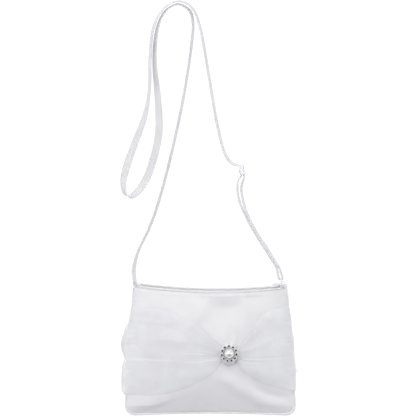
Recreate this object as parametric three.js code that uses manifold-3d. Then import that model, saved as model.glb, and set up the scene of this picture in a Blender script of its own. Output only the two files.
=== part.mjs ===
// Flower girl purse: a small satin pouch with a zip, a gathered organza sash, a pearl brooch
// and a long flat shoulder strap, laid flat on its back.
// Millimetres. +X to the right as the front is seen from before it, +Y from the bottom
// seam towards the mouth, +Z out of the front. z = 0 is the surface that the purse lies on.
import * as THREE from 'three';
import Module from 'manifold-3d';
import { mergeVertices } from 'three/addons/utils/BufferGeometryUtils.js';

const wasm = await Module();
wasm.setup();

// ---------------------------------------------------------------- driving dimensions
const POUCH = {
  topHalf: 75.8, bottomHalf: 84.6, bottom: -63.4, bottomDroop: 2.0, corner: 11, height: 128,
  seamZ: 9, bulge: 19, seamGap: 0.4, curl: 32, backLip: 0.66, cloth: 0.8,
};
const LINING = { side: 0.03, low: 0.03, high: 0.04, corner: 0.16, gap: 0.4, cloth: 0.4 };
const MOUTH = { centre: [7.8, 668.6], backR: 607.8, frontR: 611.4 };
const ZIP = {
  r: 609.6, z: 10, lean: 70, left: -70, right: 69, tape: 0.5, slot: 0.6, lipGap: 1.9,
  coilWidth: 1.4, coilHeight: 1.1, coilGap: 0.2, stop: 1.6, overrun: 2, foldAt: 2.2, span: 7,
};
const SLIDER = {
  x: 64.5, length: 7, half: 2.6, underHalf: 1.5, plate: 0.8, neck: 0.25, top: 1.6, under: -0.85,
};
const BAIL = { half: 2.2, bar: 0.7, wide: 1.2, foot: 0.1 };
const PULLER = { pin: 0.4, clear: 0.25, length: 6.4, eyeHalf: 1, eyeEnd: 3.4, half: 1.75 };
const SASH = { cloth: 0.8, lift: 0.7, knot: [18.7, -4.5], knotHalf: [7.6, 10.4], knotThick: 2.4 };
const BROOCH = { x: 18.7, y: -3.7, baseR: 8.2, baseThick: 1, stones: 11, stoneR: 1.85, ringR: 7.35 };
const PEARL = { r: 5, flat: 1.2, cupR: 4.3, cupThick: 0.8 };
const TAPE = { width: 7.5, thick: 0.6, clear: 0.3, step: 15 };
const ADJUSTER = {
  start: [31.32, 181.9], dir: [0.26, -0.966], tilt: 98, lift: 1.4, at: 2.6, straight: 7.8,
  half: 4.8, bar: 1.1, rail: 1, railGap: 0.4, endBar: [-1.5, -0.6], centreBar: [1.35, 2.15],
};
const END_LOOP = { inner: 0.55, outer: 2.95, half: 1.4, leg: 4 };
const RING = { hinge: [71.55, 66.56], dir: [-0.3, 0.954], span: 4.5, wire: 1.1, tall: 10.6, z: 5.7 };
const TAB = { tall: 7, centreR: 1.3, root: [74.1, 65.3], spread: 0.55 };
// A sash wing's end past the side seam: a start, a share of the puff, and a height.
const RIM = [[0.4, 0.2, 10.6], [0.5, 0.7, 9.8], [0.4, 1, 6.5], [0.8, 0.6, 3]];
const FIRST_STONE = 26.6;
const GAP = 0.3; // between hard pieces that touch

// ---------------------------------------------------------------- strap routes
// Each point is x, y, tilt and lift. Tilt turns the tape about its own run, 0 lying flat and
// 90 standing on its edge; lift raises its lower edge off the surface.
const STRAP_ROUTE = [
  [-75.4, 67.6, 62, 5.2], [-76.5, 79, 62, 1.4], [-72.1, 97.5, 74, 0], [-61.9, 119, 70, 0],
  [-52.2, 145.5, 66, 0],
  [-31.3, 229, 66, 0], [-18.8, 304, 68, 0], [-17.5, 327, 66, 0], [-20.8, 338.2, 70, 0],
  [-32.3, 344.6, 78, 0], [-44.3, 338.3, 76, 0], [-51.4, 325.5, 70, 0], [-54.9, 307, 62, 0],
  [-55.5, 283, 56, 0], [-52.4, 251, 32, 0], [-51.5, 217, 6, 0], [-56.3, 192, 4, 0],
  [-64.5, 169.5, 4, 0], [-72.8, 157.5, 20, 0], [-79.8, 152.4, 62, 0], [-85, 155.4, 112, 0],
  [-86.9, 165, 140, 0], [-84.3, 180.5, 168, 0], [-75.8, 205, 156, 0], [-65.8, 232, 132, 0],
  [-61.1, 257, 112, 0], [-60.1, 293, 112, 0], [-56.9, 321, 108, 0], [-49, 337.5, 103, 0],
  [-37.3, 346.9, 101, 0], [-25.8, 346.6, 103, 0], [-16.6, 339, 110, 0], [-10.3, 322, 112, 0],
  [-1.3, 272, 112, 0], [7.2, 223, 114, 0], [13.9, 197.4, 112, 0.2], [17.6, 190.2, 112, 0.5],
  [21.1, 186.2, 110, 0.9], [25, 184.1, 106, 1.2], [28.4, 183.6, 102, 1.4], [30, 183.3, 99, 1.4],
  [30.95, 182.75, 98, 1.4],
];
const DROP_ROUTE = [
  [33.43, 174.1, 98, 1.4], [33.2, 172.2, 98, 1.4], [32.3, 169.6, 100, 1.2], [31.2, 166, 102, 0.8],
  [30.8, 162, 104, 0.5], [31.2, 157, 104, 0.3], [32.6, 149.5, 104, 0.2], [34.8, 141, 104, 0.2],
  [37.9, 133, 104, 0.2], [41.7, 125, 104, 0.2], [46.3, 117, 104, 0.2], [51.2, 109, 104, 0.2],
  [56.7, 101, 104, 0.4], [61.4, 93, 100, 0.9], [65.4, 86.6, 94, 1.4], [68.6, 82, 90, 1.6],
];
const LOOP_ROUTE = [
  [66.2, 81.2], [67.3, 76], [68.2, 71.2], [68.8, 69.9], [70.3, 69.7], [71.7, 69.8], [72.2, 71],
  [70.8, 76], [69.1, 81.2],
];
const TAIL_ROUTE = [
  [66, 82, 90, 1.6], [62.6, 87, 86, 1.4], [58.6, 93.6, 80, 0.9], [54, 101, 76, 0.4],
  [48.9, 109, 76, 0.2], [44, 117, 76, 0.2], [39.4, 125, 76, 0.2], [35.4, 133, 76, 0.2],
  [31.6, 141, 76, 0.2], [28.6, 149.5, 76, 0.2], [27.2, 158, 70, 0.3], [27.1, 165, 60, 0.6],
  [27.9, 168.8, 64, 1], [29.6, 171.4, 74, 1.3], [29.88, 172.8, 81, 1.4], [29.67, 174.2, 82, 1.4],
  [28.93, 176.9, 82, 1.4],
];

// ---------------------------------------------------------------- materials
const cloth = (hex, roughness) => new THREE.MeshStandardMaterial({ color: hex, roughness });
const metal = (hex, roughness) =>
  new THREE.MeshStandardMaterial({ color: hex, roughness, metalness: 1 });
const satin = cloth(0xeeeef2, 0.4);
const liningCloth = cloth(0xe8e8ec, 0.6);
const organza = cloth(0xf2f2f6, 0.55);
const tapeSatin = cloth(0xe9e9ee, 0.4);
const zipNylon = cloth(0xf1f1f3, 0.5);
const whiteEnamel = cloth(0xf0f0f2, 0.3);
const silver = metal(0xc9c9cf, 0.2);
const pearlCoat = cloth(0xfaf8f4, 0.15);
const crystal = cloth(0xdfe6ee, 0.05);

// ---------------------------------------------------------------- geometry helpers
const point = (x, y, z) => new THREE.Vector3(x, y, z);
const mix = (a, b, t) => a + (b - a) * t;
const times = (count, make) => Array.from({ length: count }, (unused, i) => make(i));

function signedVolume(positions, index) {
  const corner = (i) => point(...positions.slice(3 * index[i], 3 * index[i] + 3));
  let volume = 0;
  for (let i = 0; i < index.length; i += 3) {
    volume += corner(i).dot(corner(i + 1).cross(corner(i + 2)));
  }
  return volume;
}

// A closed body from points and triangles, turned so that its faces point out.
function closedBody(points, index) {
  const positions = points.flatMap((p) => [p.x, p.y, p.z]);
  const faces = signedVolume(positions, index) < 0 ? index.slice().reverse() : index;
  const geometry = new THREE.BufferGeometry();
  geometry.setAttribute('position', new THREE.Float32BufferAttribute(positions, 3));
  geometry.setIndex(faces);
  geometry.computeVertexNormals();
  return geometry;
}

// A skin through closed convex rings of equal count, with a flat cap at each end.
function loft(rings) {
  const count = rings[0].length;
  const index = [];
  for (let r = 0; r + 1 < rings.length; r += 1) {
    for (let k = 0; k < count; k += 1) {
      const a = r * count + k;
      const b = r * count + ((k + 1) % count);
      index.push(a, b, b + count, a, b + count, a + count);
    }
  }
  const last = (rings.length - 1) * count;
  for (let k = 1; k + 1 < count; k += 1) {
    index.push(0, k + 1, k, last, last + k, last + k + 1);
  }
  return closedBody(rings.flat(), index);
}

// The rim takes the normal one step in, because the grid closes up at its corners.
function gridNormal(grid, rimI, rimJ) {
  const i = THREE.MathUtils.clamp(rimI, 1, grid.length - 2);
  const j = THREE.MathUtils.clamp(rimJ, 1, grid[0].length - 2);
  const along = grid[i + 1][j].clone().sub(grid[i - 1][j]);
  const across = grid[i][j + 1].clone().sub(grid[i][j - 1]);
  return along.cross(across).normalize();
}

// Moves a grid along its normals. A level rim moves inwards only, except along the last row.
const offsetGrid = (grid, distance, levelRim = false) => grid.map((row, i) => row.map((p, j) => {
  const normal = gridNormal(grid, i, j);
  if (levelRim && (i === 0 || j === 0 || j === row.length - 1)) normal.setZ(0).normalize();
  return p.clone().addScaledVector(normal, distance);
}));

// A sheet of cloth: a grid of points and the same grid moved along its normals.
function sheet(grid, thickness, levelRim = false) {
  const back = offsetGrid(grid, thickness, levelRim);
  const rows = grid.length;
  const columns = grid[0].length;
  const at = (layer, i, j) => (layer * rows + i) * columns + j;
  const index = [];
  const quad = (a, b, c, d) => index.push(a, b, c, a, c, d);
  for (let i = 0; i + 1 < rows; i += 1) {
    for (let j = 0; j + 1 < columns; j += 1) {
      quad(at(0, i, j), at(0, i, j + 1), at(0, i + 1, j + 1), at(0, i + 1, j));
      quad(at(1, i, j), at(1, i + 1, j), at(1, i + 1, j + 1), at(1, i, j + 1));
    }
    quad(at(0, i, 0), at(0, i + 1, 0), at(1, i + 1, 0), at(1, i, 0));
    quad(at(0, i + 1, columns - 1), at(0, i, columns - 1), at(1, i, columns - 1),
      at(1, i + 1, columns - 1));
  }
  for (let j = 0; j + 1 < columns; j += 1) {
    quad(at(0, 0, j + 1), at(0, 0, j), at(1, 0, j), at(1, 0, j + 1));
    quad(at(0, rows - 1, j), at(0, rows - 1, j + 1), at(1, rows - 1, j + 1),
      at(1, rows - 1, j));
  }
  return closedBody([...grid.flat(), ...back.flat()], index);
}

const purse = new THREE.Group();

function add(name, geometry, material, parent = purse) {
  const mesh = new THREE.Mesh(geometry, material);
  mesh.name = name;
  parent.add(mesh);
  return mesh;
}

// ---------------------------------------------------------------- the pouch's surfaces
// Place on a panel: u from -1 to 1 across it, v from 0 at the bottom seam to 1 at the mouth.
function halfWidth(v) {
  const rise = Math.min(v * POUCH.height, POUCH.corner);
  const run = POUCH.corner - rise;
  const inset = POUCH.corner - Math.sqrt(POUCH.corner ** 2 - run ** 2);
  return mix(POUCH.bottomHalf, POUCH.topHalf, v) - inset;
}

const bottomEdge = (x) => POUCH.bottom - POUCH.bottomDroop * (x / POUCH.topHalf) ** 2;
const mouthEdge = (x, r) => MOUTH.centre[1] - Math.sqrt(r ** 2 - (x - MOUTH.centre[0]) ** 2);

function frontHeight(u, v) {
  const across = Math.max(0, 1 - Math.abs(u) ** 2.4) ** 0.75;
  const up = (1 - (1 - v) ** 2.2) ** 0.8 * (1 - 0.5 * v ** 3);
  return POUCH.seamZ + POUCH.bulge * across * up;
}

// The back lies flat, and curls up to the seams and to its lip.
function backHeight(u, v) {
  const curl = (distance) => Math.max(0, 1 - distance / POUCH.curl) ** 2;
  const side = 1 - curl((1 - Math.abs(u)) * halfWidth(v));
  const bottom = 1 - curl(v * POUCH.height);
  const lip = 1 - POUCH.backLip * curl((1 - v) * POUCH.height);
  return POUCH.seamZ * (1 - side * bottom * lip);
}

function panelPoint(u, v, lipR, height) {
  const x = u * halfWidth(v);
  return point(x, mix(bottomEdge(x), mouthEdge(x, lipR), v), height(u, v));
}

const frontPoint = (u, v) => panelPoint(u, v, MOUTH.frontR, frontHeight);

// Where the point x, y of the front lies in u and v.
function frontPlace(x, y) {
  const low = bottomEdge(x);
  const v = (y - low) / (mouthEdge(x, MOUTH.frontR) - low);
  return [x / halfWidth(v), v];
}

// Samples crowd towards the edges, where the cloth turns most.
const crowd = (t) => 0.5 - 0.5 * Math.cos(Math.PI * t);

function panelGrid(across, up, surface) {
  return times(up + 1, (j) => times(across + 1, (i) =>
    surface(mix(-1, 1, crowd(i / across)), crowd(j / up))));
}

// The lining stops short of the seams, and its lower corners are rounder.
function liningPlace(u, v) {
  const high = mix(LINING.low, 1 - LINING.high, v);
  return [u * (1 - LINING.side - LINING.corner * (1 - high) ** 8), high];
}

function addPanels() {
  const front = (u, v) => frontPoint(u, v).add(point(0, 0, POUCH.seamGap));
  const back = (u, v) => {
    const p = panelPoint(u, v, MOUTH.backR, backHeight);
    const rim = p.z / POUCH.seamZ;
    return p.sub(point(0, 0, (POUCH.seamGap + POUCH.cloth) * rim ** 3));
  };
  const linings = POUCH.cloth + LINING.gap;
  add('front_panel', sheet(panelGrid(20, 16, front), POUCH.cloth, true), satin);
  add('back_panel', sheet(panelGrid(20, 16, back), -POUCH.cloth), satin);
  const inside = (surface) => panelGrid(16, 12, (u, v) => surface(...liningPlace(u, v)));
  const frontInner = offsetGrid(inside(front), linings);
  const backInner = offsetGrid(inside(back), -linings);
  add('front_lining', sheet(frontInner, LINING.cloth), liningCloth);
  add('back_lining', sheet(backInner, -LINING.cloth), liningCloth);
}

// ---------------------------------------------------------------- zip
// The zip runs on an arc about the mouth's centre. Its own axes are run, along the arc to the
// right; side, across the band from the back lip to the front lip; and out, away from the bag.
const lean = THREE.MathUtils.degToRad(ZIP.lean);

function zipAxes(angle) {
  const radial = point(Math.sin(angle), -Math.cos(angle), 0);
  const run = point(Math.cos(angle), Math.sin(angle), 0);
  const side = radial.clone().multiplyScalar(Math.cos(lean)).add(point(0, 0, Math.sin(lean)));
  const out = side.clone().cross(run);
  const centre = point(MOUTH.centre[0], MOUTH.centre[1], ZIP.z).addScaledVector(radial, ZIP.r);
  return { run, side, out, centre };
}

const zipAngle = (x) => Math.asin((x - MOUTH.centre[0]) / ZIP.r);

function zipPoint(x, side, out) {
  const axes = zipAxes(zipAngle(x));
  return axes.centre.addScaledVector(axes.side, side).addScaledVector(axes.out, out);
}

function addZipTape(name, sign, lipR, lipHeight) {
  const steps = 24;
  const rings = times(steps + 1, (i) => {
    const x = mix(ZIP.left - ZIP.overrun, ZIP.right + ZIP.overrun, i / steps);
    const u = x / halfWidth(1);
    const lip = point(x, mouthEdge(x, lipR), lipHeight(u, 1));
    const inner = zipPoint(x, sign * ZIP.slot, 0);
    const outer = lip.lerp(inner, Math.min(0.45, ZIP.lipGap / lip.distanceTo(inner)));
    const middle = zipPoint(x, sign * ZIP.foldAt, 0).lerp(outer, 0.4);
    const deep = zipAxes(zipAngle(x)).out.multiplyScalar(-ZIP.tape);
    const row = [inner, middle, outer];
    return [...row, ...row.slice().reverse().map((p) => p.clone().add(deep))];
  });
  add(name, loft(rings), zipNylon);
}

function addZipBlock(name, from, to, sides, outs, material) {
  const steps = Math.max(1, Math.round((to - from) / ZIP.span));
  const rings = times(steps + 1, (i) => {
    const x = mix(from, to, i / steps);
    return [[sides[0], outs[0]], [sides[1], outs[0]], [sides[1], outs[1]], [sides[0], outs[1]]]
      .map(([side, out]) => zipPoint(x, side, out));
  });
  add(name, loft(rings), material);
}

function addZip() {
  addZipTape('zip_tape_back', -1, MOUTH.backR, backHeight);
  addZipTape('zip_tape_front', 1, MOUTH.frontR, frontHeight);
  const coil = [ZIP.slot, ZIP.slot + ZIP.coilWidth];
  const coilOut = [ZIP.coilGap, ZIP.coilGap + ZIP.coilHeight];
  addZipBlock('zip_coil_back', ZIP.left, ZIP.right, [-coil[1], -coil[0]], coilOut, zipNylon);
  addZipBlock('zip_coil_front', ZIP.left, ZIP.right, coil, coilOut, zipNylon);
  const across = [-coil[1], coil[1]];
  const leftStop = ZIP.left - GAP;
  const rightStop = ZIP.right + GAP;
  addZipBlock('zip_stop_left', leftStop - ZIP.stop, leftStop, across, coilOut, whiteEnamel);
  addZipBlock('zip_stop_right', rightStop, rightStop + ZIP.stop, across, coilOut, whiteEnamel);
}

// Turns and moves a mesh so that its own x and y run along the given directions.
function place(mesh, origin, xDir, yDir) {
  const basis = new THREE.Matrix4().makeBasis(xDir, yDir, xDir.clone().cross(yDir));
  mesh.quaternion.setFromRotationMatrix(basis);
  mesh.position.copy(origin);
  return mesh;
}

const outline = (points) => new THREE.Shape(points.map(([x, y]) => new THREE.Vector2(x, y)));
const box2 = (x0, y0, x1, y1) => outline([[x0, y0], [x1, y0], [x1, y1], [x0, y1]]);

// A straight extrusion of a shape, centred on its own depth.
const prism = (shape, depth) => new THREE.ExtrudeGeometry(shape,
  { depth, bevelEnabled: false, curveSegments: 8 }).translate(0, 0, -depth / 2);

// The slider is one casting: two plates and the neck that parts the coils. The bail over it
// holds the puller's eye.
function addSlider() {
  const { half, underHalf, plate, neck, top, under } = SLIDER;
  const { side, out, run, centre } = zipAxes(zipAngle(SLIDER.x));
  const section = outline([
    [-half, top], [-half, top + plate], [half, top + plate], [half, top], [neck, top],
    [neck, under], [underHalf, under], [underHalf, under - plate],
    [-underHalf, under - plate], [-underHalf, under], [-neck, under], [-neck, top],
  ]);
  place(add('zip_slider', prism(section, SLIDER.length), whiteEnamel), centre, side, out);

  const deck = top + plate;
  const pivot = deck + PULLER.clear + PULLER.pin;
  const arch = pivot + PULLER.pin + PULLER.clear;
  const inner = BAIL.half - BAIL.bar;
  const bail = outline([
    [-BAIL.half, deck + BAIL.foot], [-inner, deck + BAIL.foot], [-inner, arch], [inner, arch],
    [inner, deck + BAIL.foot], [BAIL.half, deck + BAIL.foot], [BAIL.half, arch + BAIL.bar],
    [-BAIL.half, arch + BAIL.bar],
  ]);
  place(add('zip_bail', prism(bail, BAIL.wide), whiteEnamel), centre, run, out);

  const plateShape = outline([
    [-PULLER.pin, -PULLER.half], [PULLER.length - 1, -PULLER.half], [PULLER.length, -0.8],
    [PULLER.length, 0.8], [PULLER.length - 1, PULLER.half], [-PULLER.pin, PULLER.half],
  ]);
  plateShape.holes.push(box2(PULLER.pin, -PULLER.eyeHalf, PULLER.eyeEnd, PULLER.eyeHalf));
  const hinge = centre.clone().addScaledVector(out, pivot);
  place(add('zip_puller', prism(plateShape, 2 * PULLER.pin), whiteEnamel), hinge, run, side);
}

// ---------------------------------------------------------------- sash
// Each wing runs from the knot to a side seam and puffs out past it in two scallops. The
// stations give the upper and lower edge as x, y pairs.
const LEFT_WING = {
  sign: -1, base: 4, lobe: 4,
  top: [[10.7, 4], [2, 12], [-11, 24], [-31, 34], [-53, 41], [-71, 41]],
  low: [[10.7, -13], [4, -22], [-12, -32], [-32, -40.5], [-56, -45.5], [-77, -45]],
};
const RIGHT_WING = {
  sign: 1, base: 0.9, lobe: 2.4,
  top: [[26.7, 3], [33, 8], [42, 20], [52, 34], [63, 40], [72, 41]],
  low: [[26.7, -14], [32, -21.5], [41, -28], [53, -34], [65, -38], [76, -41]],
};

function frontSurface(x, y, lift) {
  const [u, v] = frontPlace(x, y);
  return point(x, y, frontHeight(u, v) + lift);
}

function wingColumn(top, low, steps, place3) {
  return times(steps + 1, (j) => place3(mix(top[0], low[0], j / steps),
    mix(top[1], low[1], j / steps), j / steps));
}

function addWing(name, wing) {
  const edge = (y) => {
    const v = (y - POUCH.bottom) / (MOUTH.centre[1] - MOUTH.frontR - POUCH.bottom);
    return wing.sign * halfWidth(v);
  };
  const puff = (t) => wing.base + wing.lobe * Math.abs(Math.sin(2 * Math.PI * t)) ** 0.7;
  const steps = 12;
  const lifted = POUCH.seamGap + SASH.lift;
  const columns = wing.top.map((top, i) => wingColumn(top, wing.low[i], steps,
    (x, y) => frontSurface(x, y, lifted)));
  const last = wing.top.length - 1;
  for (const [start, share, z] of RIM) {
    columns.push(wingColumn(wing.top[last], wing.low[last], steps,
      (x, y, t) => point(edge(y) + wing.sign * (start + share * puff(t)), y, z)));
  }
  const grid = wing.sign < 0 ? columns : columns.map((column) => column.slice().reverse());
  add(name, sheet(grid, SASH.cloth), organza);
}

function addKnot() {
  const [x, y] = SASH.knot;
  const centre = frontSurface(x, y, POUCH.seamGap + SASH.lift + 0.3);
  const pad = new THREE.CylinderGeometry(0.82, 1, SASH.knotThick, 28);
  pad.rotateX(Math.PI / 2).scale(SASH.knotHalf[0], SASH.knotHalf[1], 1);
  add('sash_knot', pad, organza).position.copy(centre).add(point(0, 0, SASH.knotThick / 2));
  return centre.z + SASH.knotThick;
}

// ---------------------------------------------------------------- brooch
// A profile starts and ends on the axis and runs from the lowest point to the highest.
function lathe(profile, segments = 24) {
  const points = profile.map(([r, z]) => new THREE.Vector2(r, z));
  return new THREE.LatheGeometry(points, segments).rotateX(Math.PI / 2);
}

const disc = (r, thick, segments) => lathe([[0, 0], [r, 0], [r, thick], [0, thick]], segments);

function addBrooch(seatZ) {
  const at = (radius, angle, z) =>
    point(BROOCH.x + radius * Math.cos(angle), BROOCH.y + radius * Math.sin(angle), z);
  const base = seatZ + GAP;
  add('brooch_base', disc(BROOCH.baseR, BROOCH.baseThick, 28), silver).position.copy(at(0, 0, base));
  const deck = base + BROOCH.baseThick + 0.15;
  add('pearl_cup', disc(PEARL.cupR, PEARL.cupThick, 24), silver).position.copy(at(0, 0, deck));
  const floor = Math.acos(PEARL.flat / PEARL.r);
  const arc = times(11, (i) => {
    const angle = mix(Math.PI - floor, 0, i / 10);
    return [PEARL.r * Math.sin(angle), PEARL.r * Math.cos(angle)];
  });
  const pearlZ = deck + PEARL.cupThick + 0.15 + PEARL.flat;
  const pearlProfile = [[0, -PEARL.flat], ...arc.slice(0, -1), [0, PEARL.r]];
  add('pearl', lathe(pearlProfile, 24), pearlCoat).position.copy(at(0, 0, pearlZ));
  const r = BROOCH.stoneR;
  const cut = [[0, -0.5], [0.5 * r, -0.5], [r, 0.35], [r, 0.55], [0.55 * r, 1.15], [0, 1.15]];
  const seat = [[0, 0], [0.95 * r, 0], [0.95 * r, 0.35], [0.4 * r, 0.35], [0, 0.35]];
  for (let i = 0; i < BROOCH.stones; i += 1) {
    const angle = THREE.MathUtils.degToRad(FIRST_STONE + (360 / BROOCH.stones) * i);
    const number = String(i + 1).padStart(2, '0');
    add(`stone_cup_${number}`, lathe(seat, 12), silver).position.copy(at(BROOCH.ringR, angle, deck));
    add(`stone_${number}`, lathe(cut, 8), crystal)
      .position.copy(at(BROOCH.ringR, angle, deck + 1));
  }
}

// ---------------------------------------------------------------- strap
const DEG = Math.PI / 180;

// The tape's own directions for a horizontal run and a tilt.
function tapeAxes(run, tilt) {
  const left = point(-run.y, run.x, 0).normalize();
  const side = left.multiplyScalar(Math.cos(tilt * DEG)).add(point(0, 0, Math.sin(tilt * DEG)));
  return { side, out: run.clone().cross(side).normalize() };
}

const tapeHeight = (tilt, lift) => lift + TAPE.clear
  + (TAPE.width / 2) * Math.abs(Math.sin(tilt * DEG))
  + (TAPE.thick / 2) * Math.abs(Math.cos(tilt * DEG));

// A length of tape along a route, with a step at each of its points and every two widths.
function addTape(name, route) {
  const plan = new THREE.CatmullRomCurve3(route.map(([x, y]) => point(x, y, 0)));
  const spans = route.length - 1;
  const places = [0];
  for (let i = 0; i < spans; i += 1) {
    const span = Math.hypot(route[i + 1][0] - route[i][0], route[i + 1][1] - route[i][1]);
    const steps = Math.max(1, Math.round(span / TAPE.step));
    for (let k = 1; k <= steps; k += 1) places.push(i + k / steps);
  }
  const half = TAPE.width / 2;
  const thin = TAPE.thick / 2;
  const section = [
    [-half, -thin / 2], [-half + thin, -thin], [half - thin, -thin], [half, -thin / 2],
    [half, thin / 2], [half - thin, thin], [-half + thin, thin], [-half, thin / 2],
  ];
  const rings = places.map((spot) => {
    const i = Math.min(Math.floor(spot), spans - 1);
    const [tilt, lift] = [2, 3].map((k) => mix(route[i][k], route[i + 1][k], spot - i));
    const { side, out } = tapeAxes(plan.getTangent(spot / spans), tilt);
    const centre = plan.getPoint(spot / spans).setZ(tapeHeight(tilt, lift));
    return section.map(([a, b]) =>
      centre.clone().addScaledVector(side, a).addScaledVector(out, b));
  });
  add(name, loft(rings), tapeSatin);
}

const adjusterRun = point(...ADJUSTER.dir, 0).normalize();
const adjusterPoint = (distance) => point(...ADJUSTER.start, 0)
  .addScaledVector(adjusterRun, distance);

// The upright run of a ribbon seen from above, as a closed outline of the tape's thickness.
function ribbonOutline(points, thick, divisions) {
  const curve = new THREE.CatmullRomCurve3(points.map(([x, y]) => point(x, y, 0)));
  const sideLine = (sign) => times(divisions + 1, (i) => {
    const run = curve.getTangentAt(i / divisions);
    const p = curve.getPointAt(i / divisions);
    return [p.x - sign * run.y * (thick / 2), p.y + sign * run.x * (thick / 2)];
  });
  return outline([...sideLine(1), ...sideLine(-1).reverse()]);
}

function addStrap() {
  const through = [0, 1.5, 3.5, 5.6, ADJUSTER.straight].map((distance) => {
    const p = adjusterPoint(distance);
    return [p.x, p.y, ADJUSTER.tilt, ADJUSTER.lift];
  });
  addTape('strap_main', [...STRAP_ROUTE, ...through]);
  addTape('strap_drop', DROP_ROUTE);
  addTape('strap_tail', TAIL_ROUTE);
  const loop = prism(ribbonOutline(LOOP_ROUTE, TAPE.thick, 22), TAPE.width);
  add('strap_ring_loop', loop, tapeSatin).position.z = RING.z;
}

// ---------------------------------------------------------------- strap fittings
function toManifold(geometry) {
  const bare = geometry.clone();
  bare.deleteAttribute('normal');
  bare.deleteAttribute('uv');
  const merged = mergeVertices(bare, 1e-4);
  return new wasm.Manifold(new wasm.Mesh({
    numProp: 3, vertProperties: merged.attributes.position.array,
    triVerts: new Uint32Array(merged.index.array),
  }));
}

function join(geometries) {
  const solid = geometries.map(toManifold).reduce((whole, part) => whole.add(part));
  const { vertProperties, triVerts } = solid.getMesh();
  const geometry = new THREE.BufferGeometry();
  geometry.setAttribute('position', new THREE.BufferAttribute(vertProperties, 3));
  geometry.setIndex(new THREE.BufferAttribute(triVerts, 1));
  geometry.computeVertexNormals();
  return geometry;
}

const block = (x0, y0, z0, x1, y1, z1) => new THREE.BoxGeometry(x1 - x0, y1 - y0, z1 - z0)
  .translate((x0 + x1) / 2, (y0 + y1) / 2, (z0 + z1) / 2);

// The adjuster's own x is across the tape, y out of it and z along it. Its end bars lie on
// one face of the tape and its centre bar on the other, so the tape runs straight through.
function addAdjuster() {
  const { side, out } = tapeAxes(adjusterRun, ADJUSTER.tilt);
  const centre = adjusterPoint(ADJUSTER.at).setZ(tapeHeight(ADJUSTER.tilt, ADJUSTER.lift));
  const inner = TAPE.width / 2 + ADJUSTER.railGap;
  const outer = inner + ADJUSTER.rail;
  const { half, bar, endBar, centreBar } = ADJUSTER;
  const rails = [-outer, inner].map((x) =>
    block(x, endBar[0], -half, x + ADJUSTER.rail, centreBar[1], half));
  const ends = [-half, half - bar].map((z) =>
    block(-inner - 0.5, endBar[0], z, inner + 0.5, endBar[1], z + bar));
  const middle = block(-inner - 0.5, centreBar[0], -bar / 2, inner + 0.5, centreBar[1], bar / 2);
  place(add('strap_adjuster', join([...rails, ...ends, middle]), whiteEnamel), centre, side, out);

  const { inner: near, outer: far, half: wrap, leg } = END_LOOP;
  const fold = outline([
    [near, -wrap], [near, wrap], [far - TAPE.thick, wrap], [far - TAPE.thick, leg],
    [far, leg], [far, -wrap],
  ]);
  fold.holes.push(box2(near + TAPE.thick, -0.8, far - TAPE.thick, 0.8));
  place(add('strap_end_loop', prism(fold, TAPE.width), tapeSatin), centre, out, adjusterRun);
}

function addRing() {
  const run = point(...RING.dir, 0).normalize();
  const up = point(0, 0, 1);
  const half = RING.wire / 2;
  const frame = box2(-half, -RING.tall / 2, RING.span + half, RING.tall / 2);
  frame.holes.push(box2(half, RING.wire - RING.tall / 2, RING.span - half,
    RING.tall / 2 - RING.wire));
  const hinge = point(...RING.hinge, RING.z);
  place(add('strap_ring', prism(frame, RING.wire), whiteEnamel), hinge, run, up);

  const [x, y] = RING.hinge;
  const [rootX, rootY] = TAB.root;
  const toRoot = Math.atan2(rootY - y, rootX - x);
  const around = times(7, (i) => {
    const angle = toRoot + mix(75, 285, i / 6) * DEG;
    return [x + TAB.centreR * Math.cos(angle), y + TAB.centreR * Math.sin(angle)];
  });
  const end = (sign) => [rootX - sign * TAB.spread * Math.sin(toRoot),
    rootY + sign * TAB.spread * Math.cos(toRoot)];
  const tab = ribbonOutline([end(1), ...around, end(-1)], TAPE.thick, 20);
  add('ring_tab', prism(tab, TAB.tall), tapeSatin).position.z = RING.z;
}

addPanels();
addZip();
addSlider();
addWing('sash_wing_left', LEFT_WING);
addWing('sash_wing_right', RIGHT_WING);
addBrooch(addKnot());
addStrap();
addAdjuster();
addRing();

export default purse;
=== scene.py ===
"""Looks of a flower girl purse: satin pouch, organza sash, pearl brooch, zip and shoulder strap.

Lengths are in millimetres until a mesh is made. The frame is the CAD part's: +X along the
mouth, +Y towards it, +Z out of the front, with the purse lying on its back on z = 0.
"""
import math

import bmesh
import bpy
import numpy as np
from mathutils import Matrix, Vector, noise


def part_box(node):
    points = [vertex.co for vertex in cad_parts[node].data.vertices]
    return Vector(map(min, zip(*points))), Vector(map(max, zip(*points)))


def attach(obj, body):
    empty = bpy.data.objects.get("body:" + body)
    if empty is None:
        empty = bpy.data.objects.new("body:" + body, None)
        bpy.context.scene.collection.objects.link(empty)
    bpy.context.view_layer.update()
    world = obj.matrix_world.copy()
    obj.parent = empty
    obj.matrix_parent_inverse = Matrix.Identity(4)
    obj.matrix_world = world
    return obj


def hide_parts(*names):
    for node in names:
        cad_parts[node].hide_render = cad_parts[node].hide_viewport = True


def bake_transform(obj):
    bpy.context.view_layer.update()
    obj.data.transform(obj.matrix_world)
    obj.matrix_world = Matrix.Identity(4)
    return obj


MM = 0.001
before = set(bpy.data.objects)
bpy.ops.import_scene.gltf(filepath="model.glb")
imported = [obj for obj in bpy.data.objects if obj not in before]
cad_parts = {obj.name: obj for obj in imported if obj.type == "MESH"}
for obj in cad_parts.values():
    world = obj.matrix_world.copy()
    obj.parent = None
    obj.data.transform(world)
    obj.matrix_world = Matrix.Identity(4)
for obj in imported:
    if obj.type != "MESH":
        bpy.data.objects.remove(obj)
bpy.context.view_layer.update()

# ------------------------------------------------------------------ the pouch's dimensions
TOP_HALF, BOTTOM_HALF, HEIGHT = 76.6, 85.4, 128.0
BOTTOM, DROOP, CORNER = -63.4, 2.0, 11.0
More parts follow.
